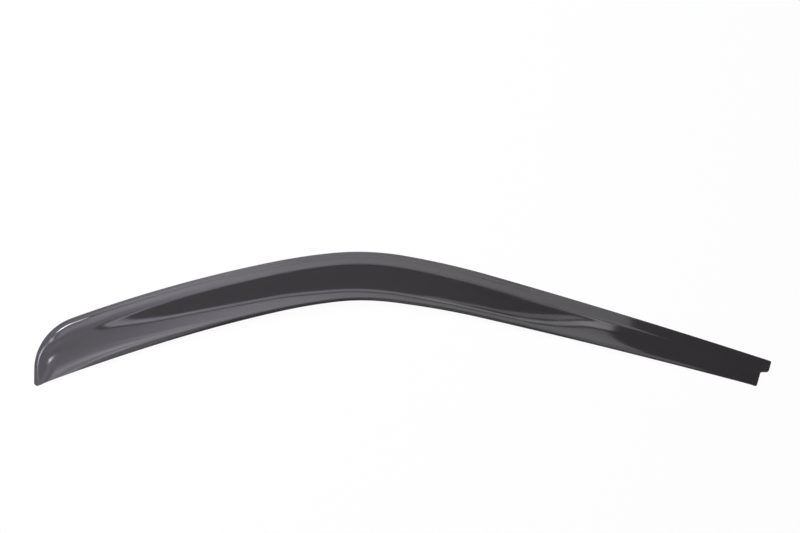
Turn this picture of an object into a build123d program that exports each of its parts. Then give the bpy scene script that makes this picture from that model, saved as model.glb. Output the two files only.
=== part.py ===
# Window rain deflector: one formed strip of smoked acrylic for the front door of a car.
# X runs along the strip from the wide end to the tip, +Y towards the flange edge, +Z away from the glass.
# The flat back of the flange is Z = 0. Sizes are in millimetres, angles in degrees.
import math
import os

from build123d import *

os.makedirs("parts", exist_ok=True)

# Sheet
WALL = 3.0

# Upper edge: tangent arcs followed from the tip to the wide end
TIP_HEADING = 160.5
TIP_LEG_RADIUS = 9700.0
TIP_LEG_LENGTH = 394.7
EASE_IN_RADIUS = 1070.0
EASE_IN_LENGTH = 122.0
BEND_RADIUS = 349.0
BEND_LENGTH = 103.0
EASE_OUT_RADIUS = 763.0
EASE_OUT_LENGTH = 81.0
WIDE_LEG_RADIUS = 1750.0
WIDE_LEG_LENGTH = 282.5

# Rounded wide end
END_RADIUS = 71.3
END_TURN = 72.8
END_CORNER = 4.0

# Width of the strip, square to the upper edge
TIP_WIDTH = 40.1
BEND_WIDTH = 74.6
END_WIDTH = 80.4
BEND_AT = 527.0
WIDTH_EASE = 40.0
END_TRIM = 7.0
TRIM_AT = 640.0

# Tab and notch at the tip
TAB_LENGTH = 10.0
TAB_ROOT = 19.2
TAB_END = 15.5
TAB_CORNER = 2.0
NOTCH_CORNER = 1.8
TIP_CORNER = 2.2

# Flat flange along the upper edge, and the bend from it up to the face
FLANGE = 13.0
FOOT_RUN = 13.0

# Margin and wall that close the wide end
END_MARGIN = 3.0
END_WALL_RUN = 22.0
END_BLEND = 40.0

# Face: its steepest angle along the strip
TIP_SLOPE = 8.0
BEND_SLOPE = 15.0
END_SLOPE = 10.5

# Lip: turned down tightly along the legs, wide and gentle towards the wide end
LIP_SLOPE = 5.0
LIP_RUN = 5.6
LIP_TURN = 45.0
END_LIP_RUN = 36.0
END_LIP_TURN = 10.0
LIP_AT = 640.0

# Run over which the face closes down to the tab
TIP_CLOSE = 40.0

# Spare sheet round the outline before it is cut, and the cutters' reach past the sheet
SPARE = 3.0
REACH = 30.0

UPPER_ARCS = [
    (TIP_LEG_RADIUS, TIP_LEG_LENGTH),
    (EASE_IN_RADIUS, EASE_IN_LENGTH),
    (BEND_RADIUS, BEND_LENGTH),
    (EASE_OUT_RADIUS, EASE_OUT_LENGTH),
    (WIDE_LEG_RADIUS, WIDE_LEG_LENGTH),
]
UPPER_LENGTH = sum(length for radius, length in UPPER_ARCS)
STRIP_LENGTH = UPPER_LENGTH + END_RADIUS
UP = Vector(0, 0, 1)


def direction(heading):
    """Unit vector at an angle from +X."""
    return Vector(math.cos(math.radians(heading)), math.sin(math.radians(heading)))


def on_upper(along):
    """Point, heading and radius on the upper edge; its last arc runs on past the wide end."""
    start = Vector(0, 0)
    heading = TIP_HEADING
    for radius, length in UPPER_ARCS:
        centre = start + direction(heading + 90) * radius
        last = radius == WIDE_LEG_RADIUS
        turn = math.degrees((along if last else min(along, length)) / radius)
        start = centre - direction(heading + turn + 90) * radius
        heading += turn
        if along <= length or last:
            return start, heading, radius
        along -= length


END_START, END_HEADING, END_LEG = on_upper(UPPER_LENGTH)
LEG_CENTRE = END_START + direction(END_HEADING + 90) * WIDE_LEG_RADIUS
END_CENTRE = END_START + direction(END_HEADING + 90) * END_RADIUS
END_LINE = direction(END_HEADING + END_TURN)
END_INWARD = direction(END_HEADING + END_TURN + 90)


def at(along, inside):
    """Plan point by its distance along and square to the upper edge."""
    spot, heading, radius = on_upper(along)
    return spot + direction(heading + 90) * inside


def place_of(spot):
    """Distances along and square to the upper edge of a plan point near the wide end."""
    reach = spot - LEG_CENTRE
    outward = direction(END_HEADING - 90)
    onward = direction(END_HEADING)
    turn = math.atan2(reach.dot(onward), reach.dot(outward))
    return UPPER_LENGTH + turn * WIDE_LEG_RADIUS, WIDE_LEG_RADIUS - reach.length


def ease(share):
    """Smooth step from 0 to 1, level and uncurved at both ends."""
    x = min(max(share, 0.0), 1.0)
    return x * x * x * (10 - 15 * x + 6 * x * x)


def past_station(along, station):
    """Share of the run from a station to the wide end."""
    return max(along - station, 0.0) / (STRIP_LENGTH - station)


def width(along):
    """Strip width: a taper up to the bend, a slower one past it, then trimmed in to the wide end."""
    first = (BEND_WIDTH - TIP_WIDTH) / BEND_AT
    second = (END_WIDTH - BEND_WIDTH) / (STRIP_LENGTH - BEND_AT)
    past = along - BEND_AT
    ramp = (past + math.sqrt(past * past + WIDTH_EASE * WIDTH_EASE)) / 2
    trim = END_TRIM * past_station(along, TRIM_AT) ** 3
    return TIP_WIDTH + first * along - (first - second) * ramp - trim


def inside_rim(along, inside):
    """Distance in from the upper edge or the rounded end; negative outside."""
    if along <= UPPER_LENGTH:
        return inside
    reach = at(along, inside) - END_CENTRE
    if reach.dot(END_LINE) > 0:
        return END_RADIUS + reach.dot(END_INWARD)
    return END_RADIUS - reach.length


def steepest(along):
    """Tangent of the face's steepest angle at a station."""
    if along < BEND_AT:
        angle = BEND_SLOPE - (BEND_SLOPE - TIP_SLOPE) * (1 - along / BEND_AT) ** 2
    else:
        angle = BEND_SLOPE - (BEND_SLOPE - END_SLOPE) * ((along - BEND_AT) / (STRIP_LENGTH - BEND_AT)) ** 2
    return math.tan(math.radians(angle))


def lip_run(along):
    """Width of the lip at a station."""
    return LIP_RUN + (END_LIP_RUN - LIP_RUN) * past_station(along, LIP_AT) ** 2


def lip_radius(along):
    """Radius of the lip: it turns from the face's last slope down to the lip's own."""
    turn = LIP_TURN + (END_LIP_TURN - LIP_TURN) * past_station(along, LIP_AT) ** 2
    return lip_run(along) / (math.sin(math.radians(LIP_SLOPE)) + math.sin(math.radians(turn)))


def lip_start(along):
    """Distance from the upper edge at which the lip begins to turn down."""
    return width(along) - lip_run(along)


def face_rise(along, inside):
    """Rise of the face over the flange: a hollow foot, a crowned face, a round lip."""
    steep = steepest(along)
    crown_from = FLANGE + FOOT_RUN
    crown_run = lip_start(along) - crown_from
    flatter = steep - math.tan(math.radians(LIP_SLOPE))
    foot = min(max(inside - FLANGE, 0.0), FOOT_RUN)
    crown = min(max(inside - crown_from, 0.0), crown_run)
    rise = steep * foot * foot / (2 * FOOT_RUN) + steep * crown - flatter * crown * crown / (2 * crown_run)
    lip = max(inside - lip_start(along), 0.0)
    angle = math.asin(math.sin(math.radians(LIP_SLOPE)) - lip / lip_radius(along))
    return rise + lip_radius(along) * (math.cos(angle) - math.cos(math.radians(LIP_SLOPE)))


def skin_height(along, inside):
    """Height of the outer skin over the flange back."""
    end = ease((along - UPPER_LENGTH) / END_BLEND)
    wall = ease((inside_rim(along, inside) - END_MARGIN) / END_WALL_RUN)
    closed = (1 - end * (1 - wall)) * ease(along / TIP_CLOSE)
    return WALL + face_rise(along, inside) * closed


def front(along, inside):
    """Point on the outer skin."""
    return at(along, inside) + UP * skin_height(along, inside)


def back(along, inside):
    """Point on the inner skin, one sheet thickness square to the outer one."""
    spot, heading, radius = on_upper(along)
    near = 0.02
    rise_in = (skin_height(along, inside + near) - skin_height(along, inside - near)) / (2 * near)
    rise_on = (skin_height(along + near, inside) - skin_height(along - near, inside)) / (2 * near)
    rise_on = rise_on / (1 - inside / radius)
    square = UP - direction(heading + 90) * rise_in - direction(heading) * rise_on
    return front(along, inside) - square.normalized() * WALL


def spread(first, last, count):
    """Evenly spaced values, the first one left out."""
    return [first + (last - first) * k / count for k in range(1, count + 1)]


def section_shares():
    """Places past the flange as shares of the way to the lower edge, set by the section at the bend."""
    inside = [FLANGE]
    inside += spread(FLANGE, FLANGE + FOOT_RUN, 6)
    inside += spread(FLANGE + FOOT_RUN, lip_start(BEND_AT), 12)
    inside += spread(lip_start(BEND_AT), width(BEND_AT), 6)
    return [(value - FLANGE) / (width(BEND_AT) - FLANGE) for value in inside]


def places(along, shares):
    """Places across a station: the edge of the spare sheet, then from the flange's end to the lower edge."""
    return [-SPARE] + [FLANGE + (width(along) - FLANGE) * share for share in shares]


def corner_station():
    """Station at which the lower edge meets the line of the wide end."""
    low = UPPER_LENGTH
    high = UPPER_LENGTH + 2 * END_RADIUS
    for halving in range(40):
        middle = (low + high) / 2
        if inside_rim(middle, width(middle)) > 0:
            low = middle
        else:
            high = middle
    return low


def stations():
    """Stations from the wide end to the tip, close together at both, with spare sheet past them."""
    along = [corner_station() + SPARE]
    while along[-1] > -SPARE:
        clear = min(UPPER_LENGTH - along[-1], along[-1] - TIP_CLOSE)
        step = min(max(clear / 8, 0.0) + 3.5, 30.0)
        along.append(along[-1] - step)
    return along


def skin(points, params):
    """Spline over one side of a section, level where it leaves the flange."""
    level = (points[1] - points[0]).normalized()
    finish = (points[-1] - points[-2]).normalized()
    return Edge.make_spline(points[1:], tangents=[level, finish], parameters=params)


def section(along, shares):
    """Closed section of the sheet at one station."""
    inside = places(along, shares)
    outer = [front(along, place) for place in inside]
    inner = [back(along, place) for place in inside]
    edges = [
        Edge.make_line(outer[0], outer[1]),
        skin(outer, shares),
        Edge.make_line(outer[-1], inner[-1]),
        skin(inner, shares),
        Edge.make_line(inner[1], inner[0]),
        Edge.make_line(inner[0], outer[0]),
    ]
    return Wire(edges)


def formed_sheet():
    """The sheet as formed, lofted through its sections from the tip to the wide end."""
    shares = section_shares()
    return Solid.make_loft([section(along, shares) for along in stations()])


def stood_up(face):
    """A plan shape stood up through the whole depth of the sheet."""
    return extrude(face, REACH, both=True)


def outline():
    """Plan of the cut edges: the upper edge, the wide end and the tip, and well clear of the lower edge."""
    edges = []
    start = 0.0
    for radius, length in UPPER_ARCS:
        edges.append(ThreePointArc(*[at(start + share * length, 0) for share in (0, 0.5, 1)]))
        start += length
    rim = [END_CENTRE + direction(END_HEADING - 90 + share * END_TURN) * END_RADIUS for share in (0, 0.5, 1)]
    edges.append(ThreePointArc(*rim))
    onward = direction(TIP_HEADING)
    inward = direction(TIP_HEADING + 90)
    tip = at(0, 0)
    tab_low = tip + inward * TAB_END
    root = tip + onward * TAB_LENGTH + inward * TAB_ROOT
    below_tip = root + inward * (TIP_WIDTH + REACH)
    below_end = rim[-1] + END_LINE * (END_WIDTH + REACH)
    edges += Polyline(rim[-1], below_end, below_tip, root, tab_low, tip).edges()
    face = make_face(edges)
    for corner, radius in [(root, NOTCH_CORNER), (tab_low, TAB_CORNER), (tip, TAB_CORNER)]:
        face = fillet(face.vertices().sort_by_distance(corner)[0], radius)
    return face


def corner_cutter(corner, first, second, radius):
    """Rounds the corner between two edges that leave it in the directions given."""
    half = math.radians(first.get_angle(second)) / 2
    centre = corner + (first + second).normalized() * (radius / math.sin(half))
    touch = radius / math.tan(half)
    tangents = [corner + first * touch, corner + second * touch]
    outer = [centre + (spot - centre) * 2 for spot in tangents]
    far = centre + (corner - centre) * 3
    kite = make_face(Polyline(centre, outer[0], far, outer[1], close=True))
    return stood_up(kite - Pos(centre) * Circle(radius * 1.02))


def corner_cutters():
    """Cutters for the round corners where the lower edge meets the tip and the wide end."""
    inward = direction(TIP_HEADING + 90)
    tip_low = at(TAB_LENGTH, width(TAB_LENGTH))
    tip_edge = at(2 * TAB_LENGTH, width(2 * TAB_LENGTH)) - tip_low
    last = corner_station()
    end_low = at(last, width(last))
    end_edge = at(last - REACH, width(last - REACH)) - end_low
    return [
        corner_cutter(tip_low, inward * -1, tip_edge.normalized(), TIP_CORNER),
        corner_cutter(end_low, END_LINE * -1, end_edge.normalized(), END_CORNER),
    ]


def faced(sheet):
    """The sheet with the back of its flange, which lies in one plane, as a true plane."""
    faces = sheet.faces().sort_by(lambda face: face.bounding_box().max.Z)
    flat = Face(faces[0].outer_wire())
    return Solid(Shell([flat] + faces[1:]))


def deflector():
    """The finished strip: the formed sheet, cut to its outline, its flange back faced flat."""
    sheet = formed_sheet() & stood_up(outline())
    for tool in corner_cutters():
        sheet = sheet - tool
    return faced(sheet.solid())


strip = deflector()
box = strip.bounding_box()
strip = Pos(-box.center().X, -box.center().Y, 0) * strip
strip.label = "deflector_strip"
export_step(strip, "parts/deflector_strip.step")
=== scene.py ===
"""A car window's rain deflector, dressed and lit as a studio photograph.

The deflector is one strip of smoked acrylic, formed hot over a mould: a flat flange, a crowned face, a
turned-down lip, a closed wide end and a notched tip. Sizes are in millimetres and degrees, in the
frame of the CAD model: +X from the wide end to the tip, +Y towards the flange edge, +Z up.
"""
import logging
import math
from dataclasses import dataclass, field
from enum import Enum
from typing import Any, Iterable, Sequence

import bpy
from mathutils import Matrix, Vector


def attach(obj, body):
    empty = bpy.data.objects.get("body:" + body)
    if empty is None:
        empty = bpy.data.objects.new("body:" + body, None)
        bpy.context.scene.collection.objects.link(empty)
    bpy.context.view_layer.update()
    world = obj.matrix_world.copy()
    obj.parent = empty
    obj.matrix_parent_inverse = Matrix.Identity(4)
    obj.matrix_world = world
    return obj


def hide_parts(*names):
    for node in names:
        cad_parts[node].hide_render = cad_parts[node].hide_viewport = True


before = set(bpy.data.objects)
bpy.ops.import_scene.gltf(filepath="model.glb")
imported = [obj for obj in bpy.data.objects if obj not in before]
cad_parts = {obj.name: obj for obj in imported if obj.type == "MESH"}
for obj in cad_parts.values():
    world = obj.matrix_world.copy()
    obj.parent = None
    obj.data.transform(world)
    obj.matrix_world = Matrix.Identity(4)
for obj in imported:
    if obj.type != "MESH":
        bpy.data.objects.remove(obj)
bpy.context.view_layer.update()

MM = 0.001
WHITE = "#FFFFFF"
Place = tuple[float, float]
log = logging.getLogger("deflector")


class Ray(Enum):
    """Kinds of ray that see a white backdrop."""

    CAMERA = "Is Camera Ray"
    GLOSSY = "Is Glossy Ray"
    TRANSMISSION = "Is Transmission Ray"


def linear(colour: str) -> tuple[float, float, float, float]:
    """Turns an sRGB hex colour to the linear values that Blender's sockets take.

    Args:
        colour: six hex digits after a hash sign.

    Returns:
        Red, green, blue and a full alpha.
    """
    shares = [int(colour[place:place + 2], 16) / 255 for place in (1, 3, 5)]
    red, green, blue = [s / 12.92 if s <= 0.04045 else ((s + 0.055) / 1.055) ** 2.4 for s in shares]
    return red, green, blue, 1.0


def add_node(
    tree: bpy.types.NodeTree, kind: str, inputs: dict[Any, Any] | None = None, **settings: Any
) -> bpy.types.Node:
    """Adds one node with its settings, socket values and links.

    Args:
        tree: the node tree that gets the node.
        kind: Blender's name for the node's type.
        inputs: socket name or number to a value, or to an output socket to link from.
        settings: the node's own properties.

    Returns:
        The new node.
    """
    node = tree.nodes.new(kind)
    for name, value in settings.items():
        setattr(node, name, value)
    for name, value in (inputs or {}).items():
        if isinstance(value, bpy.types.NodeSocket):
            tree.links.new(value, node.inputs[name])
        else:
            node.inputs[name].default_value = value
    return node


def fresh_material(name: str) -> tuple[bpy.types.Material, bpy.types.NodeTree]:
    """Makes a node material with an empty tree.

    Args:
        name: the material's name.

    Returns:
        The material and its tree.
    """
    material = bpy.data.materials.new(name)
    material.use_nodes = True
    material.node_tree.nodes.clear()
    return material, material.node_tree


@dataclass(frozen=True)
class SmokedAcrylic:
    """Cast acrylic sheet, dyed through with smoke grey, formed hot and left with its polished skin.

    The dye leaves a near-black grey, the skin mirrors the room at a few per cent, and the hot forming
    leaves long shallow waves that bend those reflections a little.
    """

    name: str = "smoked_acrylic"
    deep: str = "#312F2F"
    pale: str = "#353333"
    cloud_mm: float = 60.0
    ior: float = 1.49
    gloss: float = 0.035
    haze: float = 0.075
    haze_mm: float = 25.0
    wave_mm: float = 45.0
    wave_height_mm: float = 0.012

    def material(self) -> bpy.types.Material:
        """Builds the sheet's material.

        Returns:
            A node material that reads Object coordinates.
        """
        material, tree = fresh_material(self.name)
        place = add_node(tree, "ShaderNodeTexCoord").outputs["Object"]
        cloud = add_node(tree, "ShaderNodeTexNoise", {
            "Vector": place, "Scale": 1 / (self.cloud_mm * MM), "Detail": 2.0,
        })
        tint = add_node(tree, "ShaderNodeMix", {
            "Factor": cloud.outputs["Fac"], "A": linear(self.deep), "B": linear(self.pale),
        }, data_type="RGBA")
        smear = add_node(tree, "ShaderNodeTexNoise", {
            "Vector": place, "Scale": 1 / (self.haze_mm * MM), "Detail": 4.0,
        })
        rough = add_node(tree, "ShaderNodeMapRange", {
            "Value": smear.outputs["Fac"], "To Min": self.gloss, "To Max": self.haze,
        })
        wave = add_node(tree, "ShaderNodeTexNoise", {
            "Vector": place, "Scale": 1 / (self.wave_mm * MM), "Detail": 1.0,
        })
        bump = add_node(tree, "ShaderNodeBump", {
            "Height": wave.outputs["Fac"], "Distance": self.wave_height_mm * MM,
        })
        skin = add_node(tree, "ShaderNodeBsdfPrincipled", {
            "Base Color": tint.outputs["Result"],
            "Roughness": rough.outputs["Result"],
            "Normal": bump.outputs["Normal"],
            "IOR": self.ior,
        })
        add_node(tree, "ShaderNodeOutputMaterial", {"Surface": skin.outputs["BSDF"]})
        return material


class Term:
    """A value inside a node tree that takes part in plain arithmetic."""

    def __init__(self, tree: bpy.types.NodeTree, socket: bpy.types.NodeSocket) -> None:
        """Holds an output socket of a tree."""
        self.tree = tree
        self.socket = socket

    def math(self, operation: str, *others: "Term | float") -> "Term":
        """Applies one operation of the Math node to this value.

        Args:
            operation: Blender's name for the operation.
            others: the second and third values, where it takes them.

        Returns:
            The result as a new term.
        """
        values = {0: self.socket}
        for number, other in enumerate(others, start=1):
            values[number] = other.socket if isinstance(other, Term) else other
        node = add_node(self.tree, "ShaderNodeMath", values, operation=operation)
        return Term(self.tree, node.outputs[0])

    def __add__(self, other: "Term | float") -> "Term":
        """Sum."""
        return self.math("ADD", other)

    def __sub__(self, other: "Term | float") -> "Term":
        """Difference."""
        return self.math("SUBTRACT", other)

    def __mul__(self, other: "Term | float") -> "Term":
        """Product."""
        return self.math("MULTIPLY", other)

    def __truediv__(self, other: "Term | float") -> "Term":
        """Quotient."""
        return self.math("DIVIDE", other)

    def within(self, low: "Term | float", high: "Term | float") -> "Term":
        """This value held between two others."""
        return self.math("MAXIMUM", low).math("MINIMUM", high)

    def ease(self) -> "Term":
        """Smooth step from 0 to 1, level and uncurved at both ends."""
        share = self.within(0.0, 1.0)
        return share * share * share * (share * (share * 6.0 - 15.0) + 10.0)

    def flipped(self) -> "Term":
        """What this value leaves of 1."""
        return self * -1.0 + 1.0


def plan_terms(tree: bpy.types.NodeTree) -> list[Term]:
    """Adds the nodes that read a point's place on its own object.

    Args:
        tree: the material's tree.

    Returns:
        How far east and how far north the point lies, in millimetres.
    """
    place = add_node(tree, "ShaderNodeTexCoord").outputs["Object"]
    axes = add_node(tree, "ShaderNodeSeparateXYZ", {0: place})
    return [Term(tree, axes.outputs[axis]) / MM for axis in "XY"]


@dataclass
class StripForm:
    """The rule that the sheet follows, with the sizes of the CAD model.

    Four things are finer than there, because they only bend the reflections: the fine ridges along the
    flange, the swell round the wide end, the foot of the tip leg and the foot of the wide end's wall.
    """

    wall: float = 3.0
    tip_heading: float = 160.5
    tip_leg: tuple[float, float] = (9700.0, 394.7)
    ease_in: tuple[float, float] = (1070.0, 122.0)
    bend: tuple[float, float] = (349.0, 103.0)
    ease_out: tuple[float, float] = (763.0, 81.0)
    wide_leg: tuple[float, float] = (1750.0, 282.5)
    end_radius: float = 71.3
    end_turn: float = 72.8
    end_corner: float = 4.0
    tip_width: float = 40.1
    bend_width: float = 74.6
    end_width: float = 80.4
    bend_at: float = 527.0
    width_ease: float = 40.0
    end_trim: float = 7.0
    trim_at: float = 640.0
    tab_length: float = 10.0
    tab_root: float = 19.2
    tab_end: float = 15.5
    tab_corner: float = 2.0
    notch_corner: float = 1.8
    tip_corner: float = 2.2
    flange: float = 13.0
    foot_run: float = 13.0
    tip_foot_run: float = 7.0
    tip_foot_at: float = 240.0
    tip_foot_blend: float = 120.0
    end_margin: float = 3.0
    end_wall_run: float = 34.0
    end_blend: float = 40.0
    tip_slope: float = 8.0
    bend_slope: float = 15.0
    end_slope: float = 10.5
    lip_slope: float = 5.0
    lip_run: float = 5.6
    lip_turn: float = 45.0
    end_lip_run: float = 36.0
    end_lip_turn: float = 10.0
    lip_at: float = 640.0
    tip_close: float = 40.0
    ridge_at: tuple[float, float] = (3.6, 8.3)
    ridge_half: float = 1.7
    ridge_height: float = 0.13
    swell_from: float = 5.4
    swell_rise: float = 4.2
    swell_fall: float = 9.0
    swell_height: float = 0.65
    swell_lead: float = 60.0
    swell_in: float = 50.0
    swell_stay: float = 20.0
    swell_out: float = 25.0
    corner_halvings: int = 40
    arcs: list[tuple[float, float]] = field(init=False)
    upper_length: float = field(init=False)
    strip_length: float = field(init=False)
    end_heading: float = field(init=False)
    leg_centre: Vector = field(init=False)
    end_centre: Vector = field(init=False)
    end_line: Vector = field(init=False)
    end_inward: Vector = field(init=False)

    def __post_init__(self) -> None:
        """Chains the arcs of the upper edge and finds the rounded end."""
        self.arcs = [self.tip_leg, self.ease_in, self.bend, self.ease_out, self.wide_leg]
        self.upper_length = sum(length for _, length in self.arcs)
        self.strip_length = self.upper_length + self.end_radius
        start, self.end_heading = self.on_upper(self.upper_length)
        inward = heading_vector(self.end_heading + 90)
        self.leg_centre = start + inward * self.wide_leg[0]
        self.end_centre = start + inward * self.end_radius
        self.end_line = heading_vector(self.end_heading + self.end_turn)
        self.end_inward = heading_vector(self.end_heading + self.end_turn + 90)

    def on_upper(self, along: float) -> tuple[Vector, float]:
        """Follows the upper edge from the tip.

        Args:
            along: distance from the tip. The last arc runs on past the wide end.

        Returns:
            The point there and the edge's heading.
        """
        point = Vector((0.0, 0.0))
        heading = self.tip_heading
        for number, (radius, length) in enumerate(self.arcs):
            last = number == len(self.arcs) - 1
            turn = math.degrees((along if last else min(along, length)) / radius)
            centre = point + heading_vector(heading + 90) * radius
            point = centre - heading_vector(heading + turn + 90) * radius
            heading += turn
            if along <= length or last:
                break
            along -= length
        return point, heading

    def at(self, along: float, inside: float) -> Vector:
        """Plan point by its distance along and square to the upper edge."""
        point, heading = self.on_upper(along)
        return point + heading_vector(heading + 90) * inside

    def place_of(self, point: Vector) -> Place:
        """Finds where a plan point near the wide end lies on the strip.

        Args:
            point: the plan point.

        Returns:
            Its distances along and square to the upper edge.
        """
        reach = point - self.leg_centre
        onward = reach.dot(heading_vector(self.end_heading))
        outward = reach.dot(heading_vector(self.end_heading - 90))
        turn = math.atan2(onward, outward)
        return self.upper_length + turn * self.wide_leg[0], self.wide_leg[0] - reach.length

    def past(self, along: float, station: float) -> float:
        """Share of the run from a station to the wide end."""
        return max(along - station, 0.0) / (self.strip_length - station)

    def width(self, along: float) -> float:
        """The strip's width: a taper up to the bend, a slower one past it, then trimmed in to the wide end.

        Args:
            along: distance from the tip.

        Returns:
            The width, square to the upper edge.
        """
        first = (self.bend_width - self.tip_width) / self.bend_at
        second = (self.end_width - self.bend_width) / (self.strip_length - self.bend_at)
        beyond = along - self.bend_at
        ramp = (beyond + math.hypot(beyond, self.width_ease)) / 2
        trim = self.end_trim * self.past(along, self.trim_at) ** 3
        return self.tip_width + first * along - (first - second) * ramp - trim

    def lip_width(self, along: float) -> float:
        """Width of the lip at a station."""
        return self.lip_run + (self.end_lip_run - self.lip_run) * self.past(along, self.lip_at) ** 2

    def lip_radius(self, along: float) -> float:
        """Radius of the lip, which turns from the face's last slope down to the lip's own.

        Args:
            along: distance from the tip.

        Returns:
            The radius of the lip's section.
        """
        turn = self.lip_turn + (self.end_lip_turn - self.lip_turn) * self.past(along, self.lip_at) ** 2
        sines = math.sin(math.radians(self.lip_slope)) + math.sin(math.radians(turn))
        return self.lip_width(along) / sines

    def lip_start(self, along: float) -> float:
        """Distance from the upper edge at which the lip begins to turn down."""
        return self.width(along) - self.lip_width(along)

    def steepest(self, along: float) -> float:
        """The face's steepest slope, which is largest at the bend.

        Args:
            along: distance from the tip.

        Returns:
            The tangent of the steepest angle.
        """
        past = along - self.bend_at
        other = self.tip_slope if past < 0 else self.end_slope
        span = self.bend_at if past < 0 else self.strip_length - self.bend_at
        return math.tan(math.radians(self.bend_slope - (self.bend_slope - other) * (past / span) ** 2))

    def inside_rim(self, along: float, inside: float) -> float:
        """Measures in from the rim, which is the upper edge and then the rounded end.

        Args:
            along: distance from the tip.
            inside: distance square to the upper edge.

        Returns:
            The distance in from the rim.
        """
        if along <= self.upper_length:
            return inside
        reach = self.at(along, inside) - self.end_centre
        if reach.dot(self.end_line) > 0:
            return self.end_radius + reach.dot(self.end_inward)
        return self.end_radius - reach.length

    def corner_station(self) -> float:
        """Finds where the lower edge meets the line of the wide end, by halving.

        Returns:
            The distance from the tip, on the upper edge's own line.
        """
        low, high = self.upper_length, self.upper_length + 2 * self.end_radius
        for _ in range(self.corner_halvings):
            middle = (low + high) / 2
            low, high = (middle, high) if self.inside_rim(middle, self.width(middle)) > 0 else (low, middle)
        return low


def heading_vector(heading: float) -> Vector:
    """Unit plan vector at an angle from +X."""
    return Vector((math.cos(math.radians(heading)), math.sin(math.radians(heading))))


def spread(first: float, last: float, count: int) -> list[float]:
    """Evenly spaced values, the first one left out."""
    return [first + (last - first) * step / count for step in range(1, count + 1)]


def rounded(depth: float, radius: float) -> float:
    """How far a round corner stands back from its edge at a depth from the other edge."""
    left = max(radius - depth, 0.0)
    return radius - math.sqrt(radius * radius - left * left)


def quarter(radius: float, count: int) -> list[float]:
    """Depths from an edge at which a round corner is cut into equal turns, ends left out."""
    return [radius * (1 - math.cos(math.pi / 2 * step / count)) for step in range(1, count)]


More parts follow.
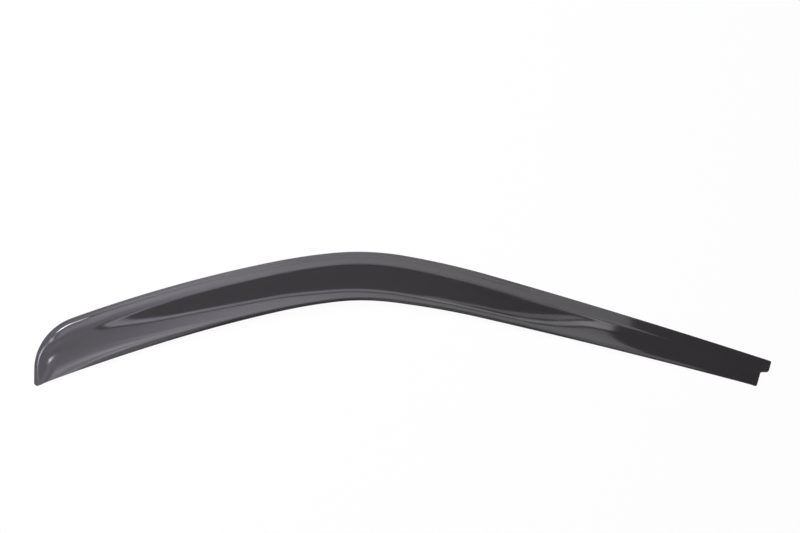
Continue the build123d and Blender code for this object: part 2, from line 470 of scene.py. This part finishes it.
@dataclass
class Blank:
    """The flat outline of the strip, ruled into rows from the tip to the wide end."""

    form: StripForm
    row_gap: float = 5.0
    fan_rows: int = 56
    corner_rows: int = 10
    upper_margin: float = 1.3
    lower_margin: float = 1.2
    flange_columns: int = 30
    foot_columns: int = 7
    face_columns: int = 22
    lip_columns: int = 14
    corner_cuts: int = 6
    tab_rows: int = 4
    tip_rows: int = 12
    edge_probe: float = 30.0
    points: list[Vector] = field(default_factory=list)
    places: list[Place] = field(default_factory=list)
    quads: list[tuple[int, int, int, int]] = field(default_factory=list)

    def columns(self, along: float) -> list[float]:
        """Chooses where a full row is cut, closely on the flange and the lip.

        Args:
            along: the row's distance from the tip.

        Returns:
            Distances from the upper edge.
        """
        form = self.form
        seam = form.tab_root + form.notch_corner
        inside = [0.0, self.upper_margin]
        inside += spread(self.upper_margin, form.flange, self.flange_columns)
        inside += spread(form.flange, seam, self.foot_columns)
        inside += spread(seam, form.lip_start(along), self.face_columns)
        inside += spread(form.lip_start(along), form.width(along) - self.lower_margin, self.lip_columns)
        return inside + [form.width(along)]

    def seam_column(self) -> int:
        """Number of the column that ends in the notch's inner corner."""
        return 1 + self.flange_columns + self.foot_columns

    def tab_row(self, along: float) -> list[Place]:
        """Cuts a row across the tab, from its upper to its lower edge.

        Args:
            along: the row's distance from the tip.

        Returns:
            The places on the row.
        """
        form = self.form
        top = rounded(along, form.tab_corner)
        low = form.tab_end + (form.tab_root - form.tab_end) * along / form.tab_length
        low += rounded(form.tab_length - along, form.notch_corner) - rounded(along, form.tab_corner)
        cut = self.columns(form.tab_length)[:self.seam_column() + 1]
        return [(along, top + (low - top) * inside / cut[-1]) for inside in cut]

    def full_row(self, along: float) -> list[Place]:
        """Cuts a row square to the upper edge, down to the lower edge or the tip's round corner.

        Args:
            along: the row's distance from the tip.

        Returns:
            The places on the row.
        """
        form = self.form
        seam = form.tab_root + form.notch_corner
        full = form.width(along) - seam
        kept = full - rounded(along - form.tab_length, form.tip_corner)
        return [
            (along, inside if inside <= seam else seam + (inside - seam) * kept / full)
            for inside in self.columns(along)
        ]

    def fan(self) -> Iterable[list[Vector]]:
        """Rows that fan out round the wide end, from its arc to the lower edge and its round corner.

        Returns:
            The rows' plan points, in order.
        """
        form = self.form
        last = form.corner_station()
        corner = form.at(last, form.width(last))
        probe = last - self.edge_probe
        back_edge = (form.at(probe, form.width(probe)) - corner).normalized()
        half = back_edge.angle(-form.end_line) / 2
        touch = form.end_corner / math.tan(half)
        centre = corner + (back_edge - form.end_line).normalized() * (form.end_corner / math.sin(half))
        start = corner + back_edge * touch - centre
        shares = [inside / form.width(form.upper_length) for inside in self.columns(form.upper_length)]
        edge_rows = self.fan_rows - self.corner_rows
        for row in range(1, self.fan_rows + 1):
            turn = form.end_turn * row / self.fan_rows
            rim = form.end_centre + heading_vector(form.end_heading - 90 + turn) * form.end_radius
            if row <= edge_rows:
                along = form.upper_length + (last - touch - form.upper_length) * row / edge_rows
                lower = form.at(along, form.width(along))
            else:
                swing = (math.pi - 2 * half) * (row - edge_rows) / self.corner_rows
                lower = centre + start * math.cos(swing) + Vector((start.y, -start.x)) * math.sin(swing)
            yield [rim + (lower - rim) * share for share in shares]

    def stations(self) -> list[float]:
        """Chooses where the full rows lie, closely round the tip's corner.

        Returns:
            Distances from the tip.
        """
        form = self.form
        cuts = [form.tab_length + depth for depth in [0.0] + quarter(form.tip_corner, self.corner_cuts)]
        first = form.tab_length + form.tip_corner
        cuts += [first] + spread(first, form.tip_close, self.tip_rows)
        count = round((form.upper_length - form.tip_close) / self.row_gap)
        return cuts + spread(form.tip_close, form.upper_length, count)

    def rule(self) -> None:
        """Lays out every row and joins neighbouring rows with quads."""
        form = self.form
        tab_cuts = [0.0] + quarter(form.tab_corner, self.corner_cuts) + [form.tab_corner]
        tab_cuts += spread(form.tab_corner, form.tab_length - form.notch_corner, self.tab_rows)
        notch_cuts = quarter(form.notch_corner, self.corner_cuts)
        tab_cuts += [form.tab_length - depth for depth in reversed(notch_cuts)]
        rows = [self.tab_row(along) for along in tab_cuts]
        rows += [self.full_row(along) for along in self.stations()]
        planned = [[(form.at(*place), place) for place in row] for row in rows]
        planned += [[(point, form.place_of(point)) for point in row] for row in self.fan()]
        starts = []
        for row in planned:
            starts.append(len(self.points))
            self.points += [point for point, _ in row]
            self.places += [place for _, place in row]
        for number in range(len(planned) - 1):
            here, there = starts[number], starts[number + 1]
            for column in range(min(len(planned[number]), len(planned[number + 1])) - 1):
                self.quads.append((here + column, there + column, there + column + 1, here + column + 1))


@dataclass
class DeflectorStrip:
    """The formed strip: a flat blank lifted by the rule and given the sheet's thickness."""

    finish: SmokedAcrylic
    form: StripForm = field(default_factory=StripForm)
    name: str = "formed_strip"
    edge_round: float = 0.7
    edge_steps: int = 3
    edge_angle: float = 55.0
    weld: float = 0.001

    def blank_mesh(self) -> bpy.types.Mesh:
        """Rules the flat blank and keeps each point's place on it.

        Returns:
            A flat mesh in metres, centred as the CAD model is, with its places as point attributes.
        """
        blank = Blank(self.form)
        blank.rule()
        low = [min(point[axis] for point in blank.points) for axis in (0, 1)]
        high = [max(point[axis] for point in blank.points) for axis in (0, 1)]
        middle = Vector(((low[0] + high[0]) / 2, (low[1] + high[1]) / 2))
        mesh = bpy.data.meshes.new(self.name)
        mesh.from_pydata([((p - middle) * MM).to_3d() for p in blank.points], [], blank.quads)
        values = {
            "along": [along for along, _ in blank.places],
            "inside": [inside for _, inside in blank.places],
            "rim": [self.form.inside_rim(*place) for place in blank.places],
            "lip_from": [self.form.lip_start(along) for along, _ in blank.places],
            "lip_radius": [self.form.lip_radius(along) for along, _ in blank.places],
            "steep": [self.form.steepest(along) for along, _ in blank.places],
        }
        for name, numbers in values.items():
            mesh.attributes.new(name, "FLOAT", "POINT").data.foreach_set("value", numbers)
        return mesh

    def sizes(self) -> dict[str, float]:
        """The rule's sizes by the names of the tree's inputs."""
        form = self.form
        return {
            "Wall": form.wall, "Flange": form.flange, "Foot run": form.foot_run,
            "Tip foot run": form.tip_foot_run, "Tip foot at": form.tip_foot_at,
            "Tip foot blend": form.tip_foot_blend,
            "End from": form.upper_length, "End blend": form.end_blend,
            "End margin": form.end_margin, "End wall run": form.end_wall_run,
            "Lip slope": math.radians(form.lip_slope), "Tip close": form.tip_close,
            "Upper ridge": form.ridge_at[0], "Lower ridge": form.ridge_at[1],
            "Ridge half": form.ridge_half, "Ridge height": form.ridge_height,
            "Swell from": form.swell_from, "Swell rise": form.swell_rise, "Swell fall": form.swell_fall,
            "Swell height": form.swell_height, "Swell lead": form.swell_lead, "Swell in": form.swell_in,
            "Swell stay": form.swell_stay, "Swell out": form.swell_out,
        }

    def height(self, tree: bpy.types.NodeTree, size: dict[str, Term]) -> Term:
        """Writes the skin's height over the table as nodes.

        Args:
            tree: the tree that gets the nodes.
            size: the tree's named inputs.

        Returns:
            The height in millimetres.
        """
        spot = {}
        for name in ("along", "inside", "rim", "lip_from", "lip_radius", "steep"):
            node = add_node(tree, "GeometryNodeInputNamedAttribute", {"Name": name}, data_type="FLOAT")
            spot[name] = Term(tree, node.outputs["Attribute"])
        steep = spot["steep"]
        widened = ((spot["along"] - size["Tip foot at"]) / size["Tip foot blend"]).ease()
        foot_run = size["Tip foot run"] + (size["Foot run"] - size["Tip foot run"]) * widened
        foot = (spot["inside"] - size["Flange"]).within(0.0, foot_run)
        crown_from = size["Flange"] + foot_run
        crown_run = spot["lip_from"] - crown_from
        crown = (spot["inside"] - crown_from).within(0.0, crown_run)
        flatter = steep - size["Lip slope"].math("TANGENT")
        rise = steep * foot * foot / (foot_run * 2.0)
        rise = rise + steep * crown - flatter * crown * crown / (crown_run * 2.0)
        lip = (spot["inside"] - spot["lip_from"]).math("MAXIMUM", 0.0)
        tilt = (size["Lip slope"].math("SINE") - lip / spot["lip_radius"]).math("ARCSINE")
        rise = rise + spot["lip_radius"] * (tilt.math("COSINE") - size["Lip slope"].math("COSINE"))
        end = ((spot["along"] - size["End from"]) / size["End blend"]).ease()
        # The end's wall climbs sharply from its foot and levels out softly at its top.
        left = ((spot["rim"] - size["End margin"]) / size["End wall run"]).within(0.0, 1.0).flipped()
        still = left * left * left * left * left * (left * -5.0 + 6.0)
        closed = (still * end).flipped() * (spot["along"] / size["Tip close"]).ease()
        return size["Wall"] + rise * closed + self.ridges(spot, size)

    def ridges(self, spot: dict[str, Term], size: dict[str, Term]) -> Term:
        """Writes the two fine ridges along the flange and the swell at their wide end.

        Args:
            spot: the places on the blank, by the names of its attributes.
            size: the tree's named inputs.

        Returns:
            Their height over the flange, in millimetres. They die out on the tip leg and at the end's wall.
        """
        inner, outer = [
            self.hump((spot["rim"] - size[name]) / size["Ridge half"])
            for name in ("Lower ridge", "Upper ridge")
        ]
        climbed = (spot["rim"] - size["Swell from"]) / size["Swell rise"]
        fallen = (spot["rim"] - size["Swell from"] - size["Swell rise"]) / size["Swell fall"]
        swell = (climbed.ease() - fallen.ease()) * size["Swell height"]
        past = spot["along"] - size["End from"]
        grown = ((past + size["Swell lead"]) / size["Swell in"]).ease()
        left = ((past - size["Swell stay"]) / size["Swell out"]).ease().flipped()
        fine = (inner * grown.flipped() + outer) * size["Ridge height"]
        from_tip = ((spot["along"] - size["Tip foot at"]) / size["Tip foot blend"]).ease()
        return (fine * from_tip + swell * grown) * left

    @staticmethod
    def hump(share: Term) -> Term:
        """A rounded hump of height 1 that ends level at shares -1 and 1."""
        flat = (share * share).within(0.0, 1.0).flipped()
        return flat * flat

    def forming_tree(self, material: bpy.types.Material) -> bpy.types.NodeTree:
        """Builds the tree that lifts the blank to its form and gives it the sheet's thickness.

        Args:
            material: the finish of the whole strip.

        Returns:
            A geometry tree with one named input for each size.
        """
        tree = bpy.data.node_groups.new("forming", "GeometryNodeTree")
        tree.interface.new_socket("Blank", in_out="INPUT", socket_type="NodeSocketGeometry")
        for name in self.sizes():
            tree.interface.new_socket(name, in_out="INPUT", socket_type="NodeSocketFloat")
        tree.interface.new_socket("Strip", in_out="OUTPUT", socket_type="NodeSocketGeometry")
        given = add_node(tree, "NodeGroupInput")
        size = {name: Term(tree, given.outputs[name]) for name in self.sizes()}
        lift = add_node(tree, "ShaderNodeCombineXYZ", {"Z": (self.height(tree, size) * MM).socket})
        front = add_node(tree, "GeometryNodeSetPosition", {
            "Geometry": given.outputs["Blank"], "Offset": lift.outputs[0],
        })
        square = add_node(tree, "GeometryNodeInputNormal")
        inward = add_node(tree, "ShaderNodeVectorMath", {
            0: square.outputs["Normal"], "Scale": (size["Wall"] * -MM).socket,
        }, operation="SCALE")
        back = add_node(tree, "GeometryNodeExtrudeMesh", {
            "Mesh": front.outputs["Geometry"], "Offset": inward.outputs["Vector"],
            "Offset Scale": 1.0, "Individual": False,
        })
        turned = add_node(tree, "GeometryNodeFlipFaces", {"Mesh": back.outputs["Mesh"]})
        both = add_node(tree, "GeometryNodeJoinGeometry")
        tree.links.new(front.outputs["Geometry"], both.inputs[0])
        tree.links.new(turned.outputs["Mesh"], both.inputs[0])
        sheet = add_node(tree, "GeometryNodeMergeByDistance", {
            "Geometry": both.outputs[0], "Distance": self.weld * MM,
        })
        spot = add_node(tree, "GeometryNodeInputPosition")
        axes = add_node(tree, "ShaderNodeSeparateXYZ", {0: spot.outputs["Position"]})
        floor = Term(tree, axes.outputs["Z"]).math("MAXIMUM", 0.0)
        faced = add_node(tree, "ShaderNodeCombineXYZ", {
            "X": axes.outputs["X"], "Y": axes.outputs["Y"], "Z": floor.socket,
        })
        seated = add_node(tree, "GeometryNodeSetPosition", {
            "Geometry": sheet.outputs["Geometry"], "Position": faced.outputs[0],
        })
        whole = add_node(tree, "GeometryNodeRealizeInstances", {"Geometry": seated.outputs["Geometry"]})
        dressed = add_node(tree, "GeometryNodeSetMaterial", {
            "Geometry": whole.outputs["Geometry"], "Material": material,
        })
        add_node(tree, "NodeGroupOutput", {"Strip": dressed.outputs["Geometry"]})
        return tree

    def build(self) -> bpy.types.Object:
        """Forms the strip, rounds its cut edges and puts it in the place of its CAD node.

        Returns:
            The finished object.
        """
        piece = bpy.data.objects.new(self.name, self.blank_mesh())
        bpy.context.scene.collection.objects.link(piece)
        tree = self.forming_tree(self.finish.material())
        forming = piece.modifiers.new("forming", "NODES")
        forming.node_group = tree
        for socket in tree.interface.items_tree:
            if socket.name in self.sizes():
                forming[socket.identifier] = self.sizes()[socket.name]
        rounding = piece.modifiers.new("cut_edges", "BEVEL")
        rounding.width = self.edge_round * MM
        rounding.segments = self.edge_steps
        rounding.limit_method = "ANGLE"
        rounding.angle_limit = math.radians(self.edge_angle)
        rounding.harden_normals = False
        graph = bpy.context.evaluated_depsgraph_get()
        piece.data = bpy.data.meshes.new_from_object(piece.evaluated_get(graph))
        piece.modifiers.clear()
        piece.data.shade_smooth()
        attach(piece, "root")
        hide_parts("deflector_strip")
        return piece


@dataclass(frozen=True)
class Patch:
    """A soft patch on the panel or its frame that glows more than the rest.

    Places are in millimetres east and north of the point that the camera looks at.
    """

    centre: Place
    spread: Place
    glow: float

    def fade(self, east: Term, north: Term) -> Term:
        """Writes the patch's own glow as nodes.

        Args:
            east: how far east of the camera's target a point lies.
            north: how far north.

        Returns:
            What the patch adds there.
        """
        across = (east - self.centre[0]) / self.spread[0]
        upward = (north - self.centre[1]) / self.spread[1]
        return ((across * across + upward * upward) * -1.0).math("EXPONENT") * self.glow


FLARE = 6000.0


def moved(line: Sequence[Place], gap: float, width: float = 0.0) -> list[Place]:
    """Moves a line to its left.

    Args:
        line: the line's corners.
        gap: how far, all along it.
        width: how much further, at the middle. It grows to the west by its own size over the flare.

    Returns:
        The moved line's corners.
    """
    corners = []
    for number, (east, north) in enumerate(line):
        before = Vector(line[max(number - 1, 0)])
        after = Vector(line[min(number + 1, len(line) - 1)])
        onward = (after - before).normalized()
        distance = gap + width * (1 - east / FLARE)
        corners.append((east - onward.y * distance, north + onward.x * distance))
    return corners


@dataclass(frozen=True)
class Rail:
    """A bright strip between two lines that have as many corners as each other."""

    name: str
    near: Sequence[Place]
    far: Sequence[Place]
    glow: float
    patches: tuple[Patch, ...]

    def outline(self) -> tuple[list[Place], list[tuple[int, ...]]]:
        """The strip's corners and its faces."""
        count = len(self.near)
        return [*self.near, *self.far], [(k, k + 1, count + k + 1, count + k) for k in range(count - 1)]


FAR_EDGE = (
    (-1100, 1340), (-1015, 1190), (-930, 1120), (-850, 1055), (-750, 1030), (-600, 1025), (-420, 1040),
    (-260, 995), (-90, 972), (60, 940), (200, 880), (320, 832), (440, 820), (550, 920),
)
EDGE_GAP = 16.0
RAIL_WIDTH = 55.0
RAIL_RIM = 18.0
FAR_RAIL = ((160, 965), (290, 950), (380, 965), (450, 965), (570, 1110), (680, 1295), (760, 1400))
FAR_RAIL_WIDTH = 80.0
END_RAIL_NEAR = ((530, 915), (600, 1010), (654, 1085), (692, 1122), (735, 1140), (757, 1150), (790, 1240))
END_RAIL_FAR = ((500, 960), (556, 1050), (611, 1134), (712, 1290), (764, 1366), (800, 1430), (838, 1400))
WEST_SHEEN = Patch((-850, 1150), (300, 300), 0.8)
MIDDLE_SHEEN = Patch((200, 930), (60, 80), 0.9)
EAST_SHEEN = Patch((700, 1230), (90, 120), 0.9)


@dataclass(frozen=True)
class SoftPanel:
    """The large soft panel overhead, with the bright rails of its frame along the far edge.

    The patches are soft light over the flange, the face and the lip, then three small lamps that give the
    spot, the lower corner and the crescent of the wide end. The outline runs on from the far edge.
    """

    height: float = 1500.0
    west_colour: str = "#F2F0FF"
    east_colour: str = "#F9F8FA"
    tint_from: float = -1000.0
    tint_run: float = 1600.0
    glow: float = 1.46
    patches: tuple[Patch, ...] = (
        Patch((-480, 850), (330, 500), 1.5),
        Patch((0, 620), (450, 700), 1.0),
        Patch((570, 760), (160, 260), 0.6),
        Patch((-640, 490), (150, 90), 1.2),
        Patch((-490, 200), (220, 400), 2.1),
        Patch((-590, -150), (110, 200), 3.0),
        Patch((-470, -450), (40, 80), 3.6),
        Patch((-390, -280), (100, 260), 2.6),
        Patch((-1220, 510), (130, 130), 14.0),
        Patch((-1120, 80), (230, 260), 1.0),
        Patch((-1640, 1690), (310, 290), 46.0),
    )
    near_edge: tuple[Place, ...] = (
        (633, 1010), (675, 1060), (712, 1085), (722, 1050), (702, 950), (686, 825), (694, 745), (712, 700),
        (695, 630), (600, 530), (552, 480), (546, 430), (600, 330), (600, 100), (540, -370), (430, -900),
        (300, -1400), (60, -1500), (100, -900), (90, -500), (0, -280), (-120, -280), (-190, -560),
        (-150, -900), (-100, -1250), (-60, -1700), (-700, -1900), (-1300, -1100), (-2600, -300),
        (-2600, 2300), (-1250, 2200), (-1180, 1500),
    )
    rails: tuple[Rail, ...] = (
        Rail("frame_rail", moved(FAR_EDGE, EDGE_GAP), moved(FAR_EDGE, EDGE_GAP, RAIL_WIDTH), 3.0,
             (WEST_SHEEN, MIDDLE_SHEEN, EAST_SHEEN)),
        Rail("frame_edge", moved(FAR_EDGE, EDGE_GAP, RAIL_WIDTH),
             moved(FAR_EDGE, EDGE_GAP, RAIL_WIDTH + RAIL_RIM), 1.5, (WEST_SHEEN,)),
        Rail("end_rail", END_RAIL_NEAR, END_RAIL_FAR, 3.0, (EAST_SHEEN,)),
        Rail("far_rail", FAR_RAIL, moved(FAR_RAIL, 0.0, FAR_RAIL_WIDTH), 1.5, (EAST_SHEEN,)),
    )

    def material(self, name: str, glow: float, patches: Sequence[Patch]) -> bpy.types.Material:
        """Builds an emitter whose glow varies over the panel.

        Args:
            name: the material's name.
            glow: what every part gives.
            patches: what is added to it, each fading outwards.

        Returns:
            An emission material that reads Object coordinates.
        """
        material, tree = fresh_material(name)
        east, north = plan_terms(tree)
        fades = [patch.fade(east, north) for patch in patches]
        strength = sum(fades[1:], fades[0]) + glow
        tint = add_node(tree, "ShaderNodeMix", {
            "Factor": ((east - self.tint_from) / self.tint_run).ease().socket,
            "A": linear(self.west_colour), "B": linear(self.east_colour),
        }, data_type="RGBA")
        lamp = add_node(tree, "ShaderNodeEmission", {
            "Color": tint.outputs["Result"], "Strength": strength.socket,
        })
        add_node(tree, "ShaderNodeOutputMaterial", {"Surface": lamp.outputs["Emission"]})
        return material

    def hang(self, studio: "Studio", name: str, corners: Sequence[Place], faces: Sequence[Sequence[int]],
             material: bpy.types.Material) -> None:
        """Hangs one flat piece over the table, out of the camera's sight.

        Args:
            studio: the studio that gets it.
            name: the piece's name.
            corners: its corners, from the point that the camera looks at.
            faces: its faces, by the corners' numbers.
            material: its glow.
        """
        piece = studio.mesh_object(name, [(*corner, 0) for corner in corners], faces, material)
        piece.location = Vector((*studio.camera_target[:2], self.height)) * MM
        piece.visible_camera = False

    def build(self, studio: "Studio") -> None:
        """Hangs the panel and its rails over the table.

        Args:
            studio: the studio that gets them.
        """
        outline = moved(FAR_EDGE, -EDGE_GAP) + list(self.near_edge)
        face = tuple(reversed(range(len(outline))))
        material = self.material("panel_glow", self.glow, self.patches)
        self.hang(studio, "soft_panel", outline, [face], material)
        for rail in self.rails:
            material = self.material(rail.name, rail.glow, rail.patches)
            self.hang(studio, rail.name, *rail.outline(), material)


@dataclass(frozen=True)
class RoomWalls:
    """The dim walls and ceiling of the room, which darken to the east."""

    colour: str = WHITE
    glow: float = 0.1
    dark: float = 0.12
    fade_end: float = 1300.0
    fade_run: float = 1000.0

    def material(self) -> bpy.types.Material:
        """Builds the walls' material.

        Returns:
            An emission material that reads Object coordinates.
        """
        material, tree = fresh_material("room_walls")
        east, _ = plan_terms(tree)
        strength = ((east - self.fade_end) / -self.fade_run).ease() * self.glow + self.dark
        glow = add_node(tree, "ShaderNodeEmission", {
            "Color": linear(self.colour), "Strength": strength.socket,
        })
        add_node(tree, "ShaderNodeOutputMaterial", {"Surface": glow.outputs["Emission"]})
        return material


@dataclass
class Studio:
    """The pale table, the dark room round it, the soft panel over it and the camera."""

    table_colour: str = "#F4F4F4"
    table_size: float = 12000.0
    table_white: float = 0.95
    room_radius: float = 5000.0
    room_rings: int = 8
    room_sides: int = 32
    room: RoomWalls = field(default_factory=RoomWalls)
    panel: SoftPanel = field(default_factory=SoftPanel)
    camera_target: tuple[float, float, float] = (-3.9, 76.2, 0.0)
    camera_distance: float = 2145.6
    camera_tilt: float = 22.0
    camera_lens: float = 70.0
    camera_sensor: float = 36.0
    camera_reach: float = 100000.0

    def white_for(self, tree: bpy.types.NodeTree) -> bpy.types.NodeSocket:
        """Adds the test of which rays see the backdrop.

        Args:
            tree: a material's or the world's tree.

        Returns:
            A socket that is 1 for those rays.
        """
        path = add_node(tree, "ShaderNodeLightPath")
        seen = Term(tree, path.outputs[Ray.CAMERA.value])
        for ray in (Ray.GLOSSY, Ray.TRANSMISSION):
            seen = seen.math("MAXIMUM", Term(tree, path.outputs[ray.value]))
        return seen.socket

    def mesh_object(self, name: str, points: Sequence[Sequence[float]], faces: Sequence[Sequence[int]],
                    material: bpy.types.Material) -> bpy.types.Object:
        """Adds a stage object.

        Args:
            name: the object's name.
            points: its corners, in millimetres.
            faces: its faces, by the corners' numbers.
            material: its finish.

        Returns:
            The new object.
        """
        mesh = bpy.data.meshes.new(name)
        mesh.from_pydata([[value * MM for value in point] for point in points], [], faces)
        mesh.materials.append(material)
        piece = bpy.data.objects.new(name, mesh)
        bpy.context.scene.collection.objects.link(piece)
        return piece

    def table_material(self) -> bpy.types.Material:
        """Builds the table's white, which keeps a soft shadow.

        Returns:
            A matt material that the camera and the reflections see as nearly all white.
        """
        material, tree = fresh_material("white_table")
        lit = add_node(tree, "ShaderNodeBsdfDiffuse", {"Color": linear(self.table_colour)})
        white = add_node(tree, "ShaderNodeEmission", {"Color": linear(WHITE), "Strength": 1.0})
        share = Term(tree, self.white_for(tree)) * self.table_white
        mixed = add_node(tree, "ShaderNodeMixShader", {
            0: share.socket, 1: lit.outputs[0], 2: white.outputs[0],
        })
        add_node(tree, "ShaderNodeOutputMaterial", {"Surface": mixed.outputs[0]})
        return material

    def add_table(self) -> None:
        """Adds the table that the strip lies on."""
        half = self.table_size / 2
        points = [(-half, -half, 0), (half, -half, 0), (half, half, 0), (-half, half, 0)]
        self.mesh_object("table", points, [(0, 1, 2, 3)], self.table_material())

    def add_room(self) -> None:
        """Adds the dim walls that the strip mirrors, as a dome that the camera looks through."""
        rings, sides = self.room_rings, self.room_sides
        points = []
        for ring in range(rings):
            lift = math.pi / 2 * ring / rings
            flat, high = self.room_radius * math.cos(lift), self.room_radius * math.sin(lift)
            for side in range(sides):
                turn = 2 * math.pi * side / sides
                points.append((flat * math.cos(turn), flat * math.sin(turn), high))
        points.append((0, 0, self.room_radius))
        faces = []
        for ring in range(rings - 1):
            for side in range(sides):
                here = ring * sides
                after = (side + 1) % sides
                faces.append((here + side, here + sides + side, here + sides + after, here + after))
        top = (rings - 1) * sides
        faces += [(top + side, len(points) - 1, top + (side + 1) % sides) for side in range(sides)]
        dome = self.mesh_object("room", points, faces, self.room.material())
        dome.visible_camera = False

    def add_world(self) -> None:
        """Gives the rays that see the backdrop a white world."""
        world = bpy.data.worlds.new("backdrop")
        bpy.context.scene.world = world
        world.use_nodes = True
        tree = world.node_tree
        tree.nodes.clear()
        sky = add_node(tree, "ShaderNodeBackground", {
            "Color": linear(WHITE), "Strength": self.white_for(tree),
        })
        add_node(tree, "ShaderNodeOutputWorld", {"Surface": sky.outputs[0]})

    def add_camera(self) -> None:
        """Sets the camera over the table, tilted back from straight down."""
        data = bpy.data.cameras.new("camera")
        data.lens = self.camera_lens
        data.sensor_width = self.camera_sensor
        data.clip_end = self.camera_reach * MM
        camera = bpy.data.objects.new("camera", data)
        tilt = math.radians(self.camera_tilt)
        back = Vector((0.0, -math.sin(tilt), math.cos(tilt))) * self.camera_distance
        camera.location = (Vector(self.camera_target) + back) * MM
        camera.rotation_euler = (tilt, 0.0, 0.0)
        bpy.context.scene.collection.objects.link(camera)
        bpy.context.scene.camera = camera

    def build(self) -> None:
        """Sets up the whole studio."""
        self.add_table()
        self.add_room()
        self.panel.build(self)
        self.add_world()
        self.add_camera()
        bpy.context.scene.view_settings.view_transform = "Standard"


def main() -> None:
    """Builds the strip and the studio."""
    logging.basicConfig(level=logging.INFO, format="%(name)s: %(message)s")
    strip = DeflectorStrip(SmokedAcrylic()).build()
    log.info("%s: %d faces", strip.name, len(strip.data.polygons))
    Studio().build()


if __name__ == "__main__":
    main()
